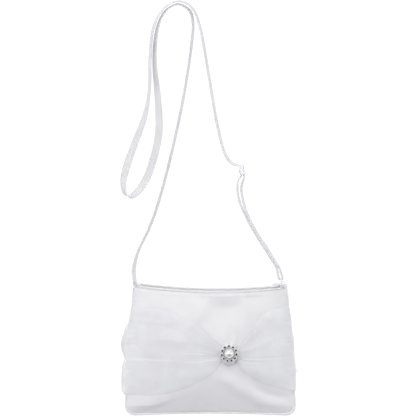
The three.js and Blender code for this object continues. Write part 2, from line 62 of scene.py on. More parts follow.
SEAM_Z, BULGE, CURL, BACK_LIP = 9.0, 19.0, 32.0, 0.66
CLOTH, SEAM_GAP = 0.8, 0.4
MOUTH_X, MOUTH_Y, BACK_R, FRONT_R = 7.8, 668.6, 607.8, 611.4
ZIP_R, ZIP_Z, ZIP_LEAN, ZIP_LEFT, ZIP_RIGHT = 609.6, 10.0, math.radians(70), -70.0, 69.0
COIL_PITCH, COIL_REACH, COIL_RISE, ZIP_CLOTH = 1.25, 1.9, 0.85, 0.45
KNOT = (18.7, -4.5)
KNOT_HALF = (8.4, 11.2)
STONES = 11
SASH_LIFT = 1.15
TAPE_WIDTH, TAPE_THICK, TAPE_CLEAR = 7.5, 0.9, 0.3

# The strap's routes: x, y, tilt about its own run in degrees, and lift off the surface.
STRAP_SEWN = (-75.1, 65.2, 62, 5.2)
STRAP_ROUTE = [
    (-75.4, 67.6, 62, 5.2), (-76.5, 79, 62, 1.4), (-72.1, 97.5, 74, 0), (-61.9, 119, 73, 0),
    (-52.2, 145.5, 72, 0),
    (-31.3, 229, 72, 0), (-18.8, 304, 73, 0), (-17.5, 327, 72, 0), (-20.8, 338.2, 70, 0),
    (-32.3, 344.6, 78, 0), (-44.3, 338.3, 76, 0), (-51.4, 325.5, 70, 0), (-54.9, 307, 62, 0),
    (-55.5, 283, 56, 0), (-52.4, 251, 32, 0), (-51.5, 217, 6, 0), (-56.3, 192, 4, 0),
    (-64.5, 169.5, 4, 0), (-72.8, 157.5, 20, 0), (-79.8, 152.4, 62, 0), (-85, 155.4, 112, 0),
    (-86.9, 165, 140, 0), (-84.3, 180.5, 168, 0), (-75.8, 205, 156, 0), (-65.8, 232, 132, 0),
    (-61.1, 257, 112, 0), (-60.1, 293, 112, 0), (-56.9, 321, 108, 0), (-49, 337.5, 103, 0),
    (-37.3, 346.9, 101, 0), (-25.8, 346.6, 103, 0), (-16.6, 339, 106, 0), (-10.3, 322, 107, 0),
    (-1.3, 272, 107, 0), (7.2, 223, 108, 0), (13.9, 197.4, 108, 0.2), (17.6, 190.2, 112, 0.5),
    (21.1, 186.2, 110, 0.9), (25, 184.1, 106, 1.2), (28.4, 183.6, 102, 1.4), (30, 183.3, 99, 1.4),
    (30.95, 182.75, 98, 1.4),
]
DROP_ROUTE = [
    (33.7, 172.2, 98, 1.4), (33.2, 169.6, 100, 1.2), (31.9, 166, 102, 0.8),
    (31.1, 162, 104, 0.5), (31.2, 157, 104, 0.3), (32.6, 149.5, 104, 0.2), (34.8, 141, 104, 0.2),
    (37.9, 133, 104, 0.2), (41.7, 125, 104, 0.2), (46.3, 117, 104, 0.2), (51.2, 109, 104, 0.2),
    (56.7, 101, 104, 0.4), (61.4, 93, 104, 0.9), (65.4, 86.6, 104, 1.4), (68.6, 82, 102, 1.6),
]
TAIL_ROUTE = [
    (66, 82, 96, 1.6), (62.6, 87, 98, 1.4), (58.6, 93.6, 101, 0.9), (54, 101, 103, 0.4),
    (48.9, 109, 103, 0.2), (44, 117, 103, 0.2), (39.4, 125, 103, 0.2), (35.4, 133, 103, 0.2),
    (31.6, 141, 103, 0.2), (28.6, 149.5, 103, 0.2), (27.2, 158, 102, 0.3), (27.1, 165, 98, 0.6),
    (27.9, 168.8, 94, 1), (29.6, 171.4, 88, 1.3), (30.6, 173, 84, 1.4),
]
LOOP_ROUTE = [
    (65.5, 82.8), (66.4, 80.9), (67.3, 76), (68.2, 71.2), (68.8, 69.9), (70.3, 69.7), (71.7, 69.8),
    (72.2, 71), (70.8, 76), (69.1, 81), (68.1, 82.8),
]
ADJUSTER_START, ADJUSTER_DIR = (31.32, 181.9), (0.26, -0.966)
ADJUSTER_TILT, ADJUSTER_LIFT, ADJUSTER_AT, ADJUSTER_STRAIGHT = 98, 1.4, 2.6, 7.8
LOOP_LEAN = -12.0
# The end's fold round the adjuster's bar: places out from the bar and along it.
END_LEG, END_OUT = 4.0, 2.65
END_FOLD = [(END_OUT, 3), (END_OUT, 1.2), (2.5, -0.6), (1.75, -1.3), (1.05, -0.6), (0.95, 0.4),
            (0.95, 1.1)]
RING_HINGE, RING_Z = (71.55, 66.56), 5.7
TAB_ROOT, TAB_CENTRE_R, TAB_TALL, TAB_SEWN = (74.1, 65.3), 1.3, 7.0, 2.0


# ------------------------------------------------------------------ meshes
def mesh_piece(name, points, faces, body, material, slot, replaced=()):
    """A smooth piece, from points in millimetres, that rides on a body."""
    mesh = bpy.data.meshes.new(name)
    mesh.from_pydata((np.asarray(points, float) * MM).tolist(), [], faces)
    mesh.update()
    mesh.shade_smooth()
    mesh.materials.append(material)
    piece = bpy.data.objects.new(name, mesh)
    bpy.context.collection.objects.link(piece)
    if body:
        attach(piece, body)
    if replaced:
        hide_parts(*replaced)
    return piece


def grid_faces(rows, columns, ring=False, start=0):
    """Quads over rows of points. A ring closes each row on itself."""
    faces = []
    for i in range(rows - 1):
        for j in range(columns if ring else columns - 1):
            k = (j + 1) % columns
            a, b = start + i * columns, start + (i + 1) * columns
            faces.append((a + j, a + k, b + k, b + j))
    return faces


def closed_faces(rows, columns, start=0):
    """Quads over rings of points, with a face over each end."""
    last = start + (rows - 1) * columns
    faces = grid_faces(rows, columns, ring=True, start=start)
    faces.append(tuple(range(start + columns - 1, start - 1, -1)))
    faces.append(tuple(range(last, last + columns)))
    return faces


def turned_out(piece):
    """Turns a closed mesh's faces to point outwards."""
    work = bmesh.new()
    work.from_mesh(piece.data)
    bmesh.ops.recalc_face_normals(work, faces=work.faces)
    work.to_mesh(piece.data)
    work.free()
    return piece


def thickened(piece, thickness, offset=-1.0):
    """Gives a sheet its cloth's thickness."""
    modifier = piece.modifiers.new("cloth", "SOLIDIFY")
    modifier.thickness = thickness * MM
    modifier.offset = offset


def painted(piece, material):
    """Gives a CAD part its finish."""
    if not piece.material_slots:
        piece.data.materials.append(material)
    for place in piece.material_slots:
        place.material = material
    return piece


def bevelled(node, width, material):
    """Rounds a CAD part's edges, shades it smooth between them and gives it its finish."""
    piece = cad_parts[node]
    modifier = piece.modifiers.new("edges", "BEVEL")
    modifier.width = width * MM
    modifier.segments = 3
    modifier.limit_method = "ANGLE"
    modifier.angle_limit = math.radians(30)
    modifier.harden_normals = True
    return painted(piece, material)


def unit(vectors):
    return vectors / np.linalg.norm(vectors, axis=-1, keepdims=True)


def centripetal(points, steps):
    """A smooth curve through points, spaced by the root of the chord in x and y."""
    p = np.asarray(points, float)
    p = np.vstack([2 * p[0] - p[1], p, 2 * p[-1] - p[-2]])
    out = []
    for i in range(1, len(p) - 2):
        x0, x1, x2, x3 = p[i - 1:i + 3]
        d0, d1, d2 = (math.hypot(*(b - a)[:2]) ** 0.5 for a, b in ((x0, x1), (x1, x2), (x2, x3)))
        t1 = ((x1 - x0) / d0 - (x2 - x0) / (d0 + d1) + (x2 - x1) / d1) * d1
        t2 = ((x2 - x1) / d1 - (x3 - x1) / (d1 + d2) + (x3 - x2) / d2) * d1
        count = max(2, round(math.hypot(*(x2 - x1)[:2]) / steps))
        for t in np.linspace(0, 1, count, endpoint=False):
            out.append(x1 + t1 * t + (3 * (x2 - x1) - 2 * t1 - t2) * t ** 2
                       + (2 * (x1 - x2) + t1 + t2) * t ** 3)
    out.append(p[-2])
    return np.array(out)


def wander(x, y, scale, seed):
    """Smooth noise from -1 to 1 over arrays of places, with the given size of lump."""
    flat = [noise.noise(Vector((a / scale, b / scale, seed))) for a, b in zip(x.ravel(), y.ravel())]
    return np.array(flat).reshape(x.shape)


# ------------------------------------------------------------------ materials
THIN_PLACE, THIN_NEAR, THIN_FAR = (16, 28, 24), 16, 46


class Paint:
    """A node material round one Principled shader."""

    def __init__(self, name, color, roughness, **sockets):
        self.material = bpy.data.materials.new(name)
        self.material.use_nodes = True
        self.tree = self.material.node_tree
        self.shader = self.tree.nodes["Principled BSDF"]
        self.shader.inputs["Base Color"].default_value = (*color, 1)
        self.shader.inputs["Roughness"].default_value = roughness
        for socket, value in sockets.items():
            self.shader.inputs[socket.replace("_", " ")].default_value = value
        self.material.diffuse_color = (*color, 1)
        self.places = self.tree.nodes.new("ShaderNodeTexCoord").outputs["Object"]

    def node(self, kind, links=(), **settings):
        made = self.tree.nodes.new(kind)
        for key, value in settings.items():
            if key in made.inputs:
                made.inputs[key].default_value = value
            else:
                setattr(made, key, value)
        for socket, output in links:
            self.tree.links.new(output, made.inputs[socket])
        return made

    def noise(self, size, detail=3.0, stretch=(1, 1, 1)):
        """Noise whose lumps are about size millimetres across."""
        mapping = self.node("ShaderNodeMapping", [("Vector", self.places)], Scale=stretch)
        return self.node("ShaderNodeTexNoise", [("Vector", mapping.outputs[0])],
                         Scale=1 / (size * MM), Detail=detail).outputs["Fac"]

    def threads(self, pitch, direction, distortion=0.0):
        """Bands of threads, pitch millimetres apart."""
        return self.node("ShaderNodeTexWave", [("Vector", self.places)],
                         Scale=2 * math.pi / (20 * pitch * MM), Distortion=distortion,
                         bands_direction=direction).outputs["Fac"]

    def add(self, a, b, operation="ADD"):
        return self.node("ShaderNodeMath", [(0, a), (1, b)], operation=operation).outputs[0]

    def shades(self, factor, low, high):
        """Colours the surface between two colours."""
        ramp = self.node("ShaderNodeValToRGB", [("Fac", factor)])
        for element, position, color in zip(ramp.color_ramp.elements, (0.3, 0.7), (low, high)):
            element.position, element.color = position, (*color, 1)
        self.tree.links.new(ramp.outputs["Color"], self.shader.inputs["Base Color"])

    def roughens(self, factor, low, high):
        spread = self.node("ShaderNodeMapRange", [("Value", factor)])
        spread.inputs["To Min"].default_value, spread.inputs["To Max"].default_value = low, high
        self.tree.links.new(spread.outputs["Result"], self.shader.inputs["Roughness"])

    def thins(self, place, near, far, low, high):
        """Fades the cloth from low, within near millimetres of a place, to high past far."""
        gap = self.node("ShaderNodeVectorMath", [(0, self.places)], operation="DISTANCE")
        gap.inputs[1].default_value = Vector(place) * MM
        fade = self.node("ShaderNodeMapRange", [("Value", gap.outputs["Value"])],
                         interpolation_type="SMOOTHSTEP")
        fade.inputs["From Min"].default_value, fade.inputs["From Max"].default_value = near * MM, far * MM
        fade.inputs["To Min"].default_value, fade.inputs["To Max"].default_value = low, high
        self.tree.links.new(fade.outputs["Result"], self.shader.inputs["Alpha"])

    def bump(self, height, depth, strength=1.0):
        """Raises the surface by depth millimetres where height is 1."""
        bump = self.node("ShaderNodeBump", [("Height", height)], Strength=strength,
                         Distance=depth * MM)
        self.tree.links.new(bump.outputs["Normal"], self.shader.inputs["Normal"])
        return self.material


def satin_paint(name, low, high, weave=0.28, relief=0.7, rough=0.36):
    paint = Paint(name, high, rough, Sheen_Weight=0.25, Sheen_Roughness=0.45,
                  Specular_IOR_Level=0.45)
    paint.shades(paint.noise(26, 2), low, high)
    paint.roughens(paint.noise(9, 3), rough - 0.04, rough + 0.06)
    floats = paint.threads(weave, "X", 1.5)
    picks = paint.threads(weave * 1.7, "Y", 1.5)
    slubs = paint.noise(0.5, 2, (0.25, 1, 1))
    return paint.bump(paint.add(paint.add(floats, picks), slubs), 0.012, relief)


def organza_paint(name, alpha, low, high, sheer=None):
    """Sheer is the alpha just above the brooch, where the sash is one thin layer."""
    paint = Paint(name, high, 0.5, Sheen_Weight=0.25, Sheen_Roughness=0.4, Alpha=alpha,
                  Specular_IOR_Level=0.3)
    paint.shades(paint.noise(14, 2), low, high)
    if sheer is not None:
        paint.thins(THIN_PLACE, THIN_NEAR, THIN_FAR, sheer, alpha)
    warp = paint.threads(0.34, "X", 0.6)
    weft = paint.threads(0.34, "Y", 0.6)
    return paint.bump(paint.add(warp, weft, "MAXIMUM"), 0.02, 0.5)


def lining_paint():
    paint = Paint("lining", (0.8, 0.8, 0.83), 0.55, Sheen_Weight=0.1)
    paint.shades(paint.noise(18, 2), (0.76, 0.76, 0.79), (0.82, 0.82, 0.85))
    return paint.bump(paint.threads(0.4, "DIAGONAL", 0.5), 0.015)


def tape_paint():
    paint = Paint("zip_tape", (0.78, 0.78, 0.8), 0.62, Sheen_Weight=0.1)
    paint.shades(paint.noise(5, 2), (0.75, 0.75, 0.77), (0.81, 0.81, 0.83))
    chevrons = paint.add(paint.threads(0.7, "DIAGONAL", 0.4), paint.threads(0.35, "X"))
    return paint.bump(chevrons, 0.05, 0.8)


def nylon_paint():
    paint = Paint("nylon", (0.84, 0.84, 0.86), 0.32, Subsurface_Weight=0.1)
    paint.shader.inputs["Subsurface Radius"].default_value = (0.001, 0.001, 0.001)
    paint.shades(paint.noise(2, 2), (0.81, 0.81, 0.83), (0.86, 0.86, 0.88))
    return paint.bump(paint.noise(0.3, 2), 0.01)


def thread_paint():
    paint = Paint("thread", (0.8, 0.8, 0.83), 0.5, Sheen_Weight=0.2)
    paint.shades(paint.noise(1.5, 2), (0.74, 0.74, 0.78), (0.84, 0.84, 0.87))
    return paint.bump(paint.threads(0.25, "DIAGONAL"), 0.03)


def metal_paint(name, color, roughness, wear, metallic):
    """Plated metal: fine polish marks, and a duller film in patches."""
    paint = Paint(name, color, roughness, Metallic=metallic)
    dull = tuple(c * 0.82 for c in color)
    paint.shades(paint.noise(3, 4), dull, color)
    paint.roughens(paint.noise(1.6, 4), roughness, roughness + wear)
    return paint.bump(paint.noise(0.25, 3, (1, 6, 1)), 0.004, 0.4)


def enamel_paint():
    paint = Paint("white_enamel", (0.9, 0.9, 0.92), 0.42, Coat_Weight=0.15, Coat_Roughness=0.2)
    paint.shades(paint.noise(4, 2), (0.87, 0.87, 0.89), (0.92, 0.92, 0.94))
    return paint.bump(paint.noise(1.2, 2), 0.02, 0.5)


def pearl_paint():
    paint = Paint("pearl", (0.93, 0.92, 0.91), 0.12, Metallic=0.6, Coat_Weight=1.0,
                  Coat_Roughness=0.03)
    paint.shades(paint.noise(5, 2), (0.86, 0.845, 0.84), (0.93, 0.92, 0.9))
    return paint.bump(paint.noise(1.0, 2), 0.004, 0.3)


def crystal_paint(name, low, high, metallic):
    paint = Paint(name, high, 0.04, Metallic=metallic, Coat_Weight=1.0, Coat_Roughness=0.0)
    paint.shades(paint.noise(1.1, 1), low, high)
    return paint.bump(paint.noise(0.4, 1), 0.001, 0.2)


SATIN = satin_paint("satin", (0.76, 0.755, 0.775), (0.8, 0.795, 0.816))
# The strap's satin is drawn darker than the pouch's satin: painted shade for the tape's faces, which
# stand on edge and are turned away from the light.
STRAP_SATIN_PAINTED_SHADE = satin_paint("strap_satin", (0.69, 0.69, 0.71), (0.77, 0.77, 0.79), 0.22, 0.2, 0.5)
ORGANZA = organza_paint("organza", 0.8, (0.86, 0.863, 0.895), (0.93, 0.935, 0.96), 0.5)
ORGANZA_LAYERS = organza_paint("organza_layers", 0.95, (0.86, 0.863, 0.895), (0.93, 0.935, 0.96))
# The puffs past the side seams get a darker, denser copy of the organza: painted shade for their faces,
# which turn sideways away from the light.
ORGANZA_PUFF_PAINTED_SHADE = organza_paint("organza_puff_painted_shade", 0.9, (0.74, 0.74, 0.76), (0.82, 0.82, 0.84))
LINING = lining_paint()
ZIP_TAPE = tape_paint()
NYLON = nylon_paint()
THREAD = thread_paint()
SILVER = metal_paint("silver", (0.9, 0.9, 0.92), 0.22, 0.14, 0.45)
ENAMEL = enamel_paint()
PEARL = pearl_paint()
CRYSTAL = crystal_paint("foiled_crystal", (0.82, 0.83, 0.86), (0.96, 0.96, 0.98), 0.2)
# The stones' tables are painted near black: a painted reflection of the dark room straight overhead.
CRYSTAL_TABLE_PAINTED_REFLECTION = crystal_paint("crystal_table_painted_reflection", (0.03, 0.03, 0.04), (0.1, 0.1, 0.12), 0.6)


# ------------------------------------------------------------------ camera, light and floor
VIEW_MM, VIEW_CENTRE, LENS, SENSOR = 416.0, (-2.3, 141.0), 400.0, 36.0
FLOOR_GLOW = 1.02


def make_camera():
    data = bpy.data.cameras.new("camera")
    data.lens, data.sensor_width = LENS, SENSOR
    data.clip_start, data.clip_end = 0.01, 20
    camera = bpy.data.objects.new("camera", data)
    bpy.context.collection.objects.link(camera)
    x, y = VIEW_CENTRE
    camera.location = (x * MM, y * MM, VIEW_MM * MM * LENS / SENSOR)
    bpy.context.scene.camera = camera


def softbox(name, place, target, size, power, color=(1, 1, 1)):
    data = bpy.data.lights.new(name, "AREA")
    data.shape, data.size, data.size_y = "RECTANGLE", size[0], size[1]
    data.energy, data.color = power, color
    light = bpy.data.objects.new(name, data)
    bpy.context.collection.objects.link(light)
    light.location = place
    light.rotation_euler = (Vector(target) - Vector(place)).to_track_quat("-Z", "Y").to_euler()


def make_world():
    """An even room, darker straight overhead where the camera is."""
    world = bpy.data.worlds.new("studio")
    bpy.context.scene.world = world
    world.use_nodes = True
    tree = world.node_tree
    background = tree.nodes["Background"]
    place = tree.nodes.new("ShaderNodeTexCoord")
    split = tree.nodes.new("ShaderNodeSeparateXYZ")
    ramp = tree.nodes.new("ShaderNodeValToRGB")
    tree.links.new(place.outputs["Generated"], split.inputs[0])
    tree.links.new(split.outputs["Z"], ramp.inputs["Fac"])
    tree.links.new(ramp.outputs["Color"], background.inputs["Color"])
    low, high = ramp.color_ramp.elements
    low.position, low.color = 0.3, (0.62, 0.63, 0.67, 1)
    high.position, high.color = 0.97, (0.05, 0.05, 0.06, 1)
    background.inputs["Strength"].default_value = 0.86


def make_floor():
    size = 6.0
    mesh = bpy.data.meshes.new("floor")
    mesh.from_pydata([(-size, -size, 0), (size, -size, 0), (size, size, 0), (-size, size, 0)], [],
                     [(0, 1, 2, 3)])
    floor = bpy.data.objects.new("floor", mesh)
    bpy.context.collection.objects.link(floor)
    paint = Paint("floor", (0.03, 0.03, 0.03), 0.9, Emission_Strength=FLOOR_GLOW)
    paint.shader.inputs["Emission Color"].default_value = (1, 1, 1, 1)
    mesh.materials.append(paint.material)


def make_stage():
    make_camera()
    make_world()
    make_floor()
    softbox("key", (-0.25, 1.1, 1.8), (0, 0.05, 0), (2.4, 1.7), 28.5, (1, 0.988, 0.968))
    softbox("left_fill", (-1.15, 0.1, 1.15), (0, 0.05, 0), (0.9, 1.3), 6.2)
    softbox("right_fill", (1.15, 0.1, 1.15), (0, 0.05, 0), (0.9, 1.3), 6.2)
    bpy.context.scene.view_settings.view_transform = "Standard"


# ------------------------------------------------------------------ the pouch's surfaces
def half_width(v):
    run = CORNER - np.minimum(v * HEIGHT, CORNER)
    inset = CORNER - np.sqrt(CORNER ** 2 - run ** 2)
    return BOTTOM_HALF + (TOP_HALF - BOTTOM_HALF) * v - inset


def bottom_edge(x):
    return BOTTOM - DROOP * (x / TOP_HALF) ** 2


def mouth_edge(x, r):
    return MOUTH_Y - np.sqrt(r ** 2 - (x - MOUTH_X) ** 2)


def front_height(u, v):
    across = np.maximum(0, 1 - np.abs(u) ** 2.4) ** 0.75
    up = (1 - (1 - v) ** 2.2) ** 0.8 * (1 - 0.5 * v ** 3)
    return SEAM_Z + BULGE * across * up


def back_height(u, v):
    def curl(distance):
        return np.maximum(0, 1 - distance / CURL) ** 2
    side = 1 - curl((1 - np.abs(u)) * half_width(v))
    return SEAM_Z * (1 - side * (1 - curl(v * HEIGHT)) * (1 - BACK_LIP * curl((1 - v) * HEIGHT)))


def front_place(x, y):
    low = bottom_edge(x)
    v = np.clip((y - low) / (mouth_edge(x, FRONT_R) - low), 0, 1)
    return np.clip(x / half_width(v), -1, 1), v


def ridge(x, y, line, height, near, far):
    """A fold along a line of points, near wide on its right-hand side and far on its left."""
    best = np.full(x.shape, np.inf)
    side, along = np.zeros(x.shape), np.zeros(x.shape)
    line = np.asarray(line, float)
    spans = len(line) - 1
    for k in range(spans):
        (ax, ay), (bx, by) = line[k], line[k + 1]
        dx, dy = bx - ax, by - ay
        t = np.clip(((x - ax) * dx + (y - ay) * dy) / (dx * dx + dy * dy), 0, 1)
        ox, oy = x - ax - t * dx, y - ay - t * dy
        distance = np.hypot(ox, oy)
        closer = distance < best
        best = np.where(closer, distance, best)
        turned = (dx * oy - dy * ox) / np.maximum(math.hypot(dx, dy) * distance, 1e-9)
        side = np.where(closer, turned, side)
        along = np.where(closer, (k + t) / spans, along)
    width = near + (far - near) * (0.5 + 0.5 * side)
    fade = np.sin(np.pi * np.clip(along, 0.04, 0.96)) ** 0.6
    return height * fade * np.exp(-(best / width) ** 2)


# Folds in the satin: a line of places, height, and width on each side.
SATIN_FOLDS = [
    ([(27.5, 34), (27, 24), (25.4, 12), (23, 0)], 1.1, 2.6, 0.9),
    ([(24.4, 34), (24.2, 22), (22.6, 8)], -0.8, 0.8, 1.6),
    ([(20, 33), (17, 20), (16, 6)], 0.5, 2.5, 3.5),
    ([(-4, 47), (8, 40), (20, 39), (34, 46)], -4.4, 25, 10),
    ([(0, -25), (20, -33), (37, -44), (52, -53), (66, -57.5), (84, -59)], 2.5, 6, 8),
    ([(42, -37), (58, -45), (84, -49)], -1.2, 4, 4.5),
    ([(14, -20), (22, -34), (26, -48)], 0.6, 6, 6),
    ([(-48, -47), (-20, -44), (8, -43), (30, -50)], 0.9, 11, 14),
    ([(-94, -62.5), (-72, -61), (-54, -54.5), (-38, -48)], 3.2, 3.5, 10),
    ([(36, 43), (50, 39), (66, 33)], 0.5, 6, 6),
    ([(-62, 52), (-52, 42), (-48, 28)], 0.5, 5, 7),
    ([(-20, 54), (-12, 44), (2, 34)], 0.5, 5, 6),
]
HEM = 1.1
LIP_SINK = 1.8
SEAM_ROLL = 0.8
LINING_LOW, LINING_HIGH, LINING_SIDE, LINING_CORNER = 0.03, 0.96, 0.03, 0.16
LINING_GAP, LINING_CLOTH = 0.5, 0.4


def front_relief(x, y):
    """How far the satin stands off the smooth pouch: its folds and slack, which fade towards the
    edges, the seam's puckers, the sink towards the lip, and the hem with its gathers."""
    u, v = front_place(x, y)
    relief = sum(ridge(x, y, *fold) for fold in SATIN_FOLDS)
    relief = relief + 0.55 * wander(x, y, 24, 3.0) + 0.22 * wander(x, y, 11, 8.0)
    to_lip = mouth_edge(x, FRONT_R) - y
    to_bottom = y - bottom_edge(x)
    relief = relief * np.clip(to_lip / 6, 0, 1) * np.clip((1 - np.abs(u)) * 9, 0, 1)
    relief = relief * np.clip(to_bottom / 9, 0, 1)
    to_seam = np.minimum((1 - np.abs(u)) * half_width(v), to_bottom)
    pucker = wander(x, y, 3.4, 15.0) * np.exp(-to_seam / 4.5) * np.clip(to_seam / 1.2, 0, 1)
    sink = LIP_SINK * np.exp(-(to_lip / 16) ** 2) * (1 - np.abs(u) ** 4)
    below_hem = to_lip - HEM
    hem = -0.6 * np.exp(-(below_hem / np.where(below_hem > 0, 1.8, 0.5)) ** 2)
    gather = 0.22 * wander(x, y * 0.2, 3.0, 21.0) * np.exp(-np.abs(to_lip - HEM - 1.5) / 4)
    return relief + 0.45 * pucker + hem + gather - sink


def front_surface(x, y):
    """Height of the satin's outer face."""
    return front_height(*front_place(x, y)) + SEAM_GAP + front_relief(x, y)


def eased(count, strength=0.75):
    """Steps from 0 to 1 that are closer together at the ends."""
    t = np.linspace(0, 1, count)
    return t - strength * np.sin(2 * np.pi * t) / (2 * np.pi)


def panel_places(across, up, lip_r):
    u, v = np.meshgrid(2 * eased(across) - 1, eased(up))
    x = u * half_width(v)
    low = bottom_edge(x)
    return u, v, x, low + (mouth_edge(x, lip_r) - low) * v


def make_front():
    across, up = 190, 150
    u, v, x, y = panel_places(across, up, FRONT_R)
    z = front_height(u, v) + front_relief(x, y)
    rim = np.minimum.reduce([(1 - np.abs(u)) * half_width(v), v * HEIGHT])
    z = z + SEAM_GAP * np.clip(rim / 3, 0, 1)
    points = np.stack([x, y, z], -1).reshape(-1, 3)
    piece = mesh_piece("front_satin", points, grid_faces(up, across), "purse", SATIN, "satin",
                       ["front_panel"])
    thickened(piece, CLOTH)


def make_back():
    across, up = 120, 100
    u, v, x, y = panel_places(across, up, BACK_R)
    height = back_height(u, v)
    crease = 0.5 * wander(x, y, 17, 33.0) + 0.25 * wander(x, y, 8, 37.0)
    rim = np.minimum.reduce([(1 - np.abs(u)) * half_width(v), v * HEIGHT, (1 - v) * HEIGHT])
    flat = np.clip(height / 1.5, 0, 1)
    pucker = 0.4 * wander(x, y, 3.4, 41.0) * np.exp(-rim / 5) * np.clip(rim / 1.2, 0, 1)
    z = height + (np.abs(crease) * 0.25 + pucker) * flat * np.clip(rim / 2, 0, 1)
    points = np.stack([x, y, np.maximum(z, 0.02)], -1).reshape(-1, 3)
    faces = [face[::-1] for face in grid_faces(up, across)]
    piece = mesh_piece("back_satin", points, faces, "purse", SATIN, "satin", ["back_panel"])
    thickened(piece, CLOTH)


def make_front_lining():
    """The lining follows the satin a little way under it, and stops short of the seams."""
    across, up = 110, 80
    u, v = np.meshgrid(2 * eased(across) - 1, eased(up))
    v = LINING_LOW + (LINING_HIGH - LINING_LOW) * v
    u = u * (1 - LINING_SIDE - LINING_CORNER * (1 - v) ** 8)
    x = u * half_width(v)
    low = bottom_edge(x)
    y = low + (mouth_edge(x, FRONT_R) - low) * v
    z = front_surface(x, y) - CLOTH - LINING_GAP
    points = np.stack([x, y, z], -1).reshape(-1, 3)
    piece = mesh_piece("front_lining_sewn", points, grid_faces(up, across), "purse", LINING, "lining",
                       ["front_lining"])
    thickened(piece, LINING_CLOTH)


def make_seam():
    """The rolled seam that joins the front to the back, down one side and up the other."""
    v = 0.985 * np.linspace(1, 0, 60) ** 2
    side_x = -half_width(v)
    low = bottom_edge(side_x)
    left_y = low + (mouth_edge(side_x, FRONT_R) - low) * v
    right_y = low + (mouth_edge(-side_x, FRONT_R) - low) * v
    low_x = np.linspace(side_x[-1], -side_x[-1], 50)[1:-1]
    x = np.concatenate([side_x, low_x, -side_x[::-1]])
    y = np.concatenate([left_y, bottom_edge(low_x), right_y[::-1]])
    path = np.column_stack([x, y, np.full(len(x), SEAM_Z + SEAM_GAP / 2)])
    tube("side_seam_rolled", path, SEAM_ROLL, "purse", SATIN, "satin")


def capsule_row(name, places, directions, length, radius, body, material, slot):
    """Stitches: a short rounded bar at each place, along its direction."""
    points, faces = [], []
    sides, stations = 6, [(-1, 0.35), (-0.75, 0.9), (0, 1), (0.75, 0.9), (1, 0.35)]
    up = Vector((0, 0, 1))
    for place, direction in zip(places, directions):
        along = Vector(direction).normalized()
        side = along.cross(up).normalized()
        top = side.cross(along)
        start = len(points)
        for share, wide in stations:
            for k in range(sides):
                turn = 2 * math.pi * k / sides
                offset = side * math.cos(turn) + top * math.sin(turn)
                points.append(Vector(place) + along * (share * length / 2) + offset * radius * wide)
        faces += closed_faces(len(stations), sides, start)
    turned_out(mesh_piece(name, points, faces, body, material, slot))


def make_lip_stitches():
    """The topstitching that holds the zip's tape under each lip."""
    pitch, length, radius, stand = 2.6, 1.9, 0.24, 0.12
    for name, lip_r, side in (("front", FRONT_R, 1), ("back", BACK_R, -1)):
        count = int((ZIP_RIGHT - ZIP_LEFT) / pitch)
        x = np.linspace(ZIP_LEFT, ZIP_RIGHT, count)
        y = mouth_edge(x, lip_r) - HEM
        if side > 0:
            z = front_surface(x, y) + stand
        else:
            low = bottom_edge(x)
            v = (y - low) / (mouth_edge(x, BACK_R) - low)
            z = back_height(x / half_width(v), v) - stand
        places = np.stack([x, y, z], -1)
        capsule_row(f"topstitch_{name}", places, np.gradient(places, axis=0), length, radius,
                    "purse", THREAD, "strap_satin")


# ------------------------------------------------------------------ zip
def zip_axes(angle):
    """The zip's directions along, across and out of it, and its centre, at an angle round the mouth."""
    radial = Vector((math.sin(angle), -math.cos(angle), 0))
    run = Vector((math.cos(angle), math.sin(angle), 0))
    side = radial * math.cos(ZIP_LEAN) + Vector((0, 0, math.sin(ZIP_LEAN)))
    centre = Vector((MOUTH_X, MOUTH_Y, ZIP_Z)) + radial * ZIP_R
    return run, side, side.cross(run), centre


def zip_point(x, side_by, out_by):
    """A place by the zip: its x along the mouth, then millimetres across the zip and off it."""
    side, out, centre = zip_axes(math.asin((x - MOUTH_X) / ZIP_R))[1:]
    return centre + side * side_by + out * out_by


def make_zip_tapes():
    """Each tape curves from the coil's line to where it is tucked in under its lip."""
    stations, rows = 150, 12
    tuck, under_front, over_back = 2.2, 1.7, 1.3
    places = np.linspace(ZIP_LEFT - 3, ZIP_RIGHT + 3, stations)
    for name, sign, lip_r in (("back", -1, BACK_R), ("front", 1, FRONT_R)):
        lip_y = mouth_edge(places, lip_r) - tuck
        if sign > 0:
            lip_z = front_surface(places, lip_y) - under_front
        else:
            lip_z = back_height(places / half_width(1.0), 1 - tuck / HEIGHT) + over_back
        points = []
        for x, y, z in zip(places, lip_y, lip_z):
            lip = Vector((x, y, z))
            inner = zip_point(x, sign * 0.06, 0.1)
            bend = zip_point(x, sign * 2.4, 0.05)
            for t in np.linspace(0, 1, rows):
                points.append(inner * (1 - t) ** 2 + bend * 2 * t * (1 - t) + lip * t ** 2)
        piece = mesh_piece(f"zip_tape_{name}_woven", points, grid_faces(stations, rows), "purse",
                           ZIP_TAPE, "zip_nylon", [f"zip_tape_{name}"])
        thickened(piece, ZIP_CLOTH, 0)


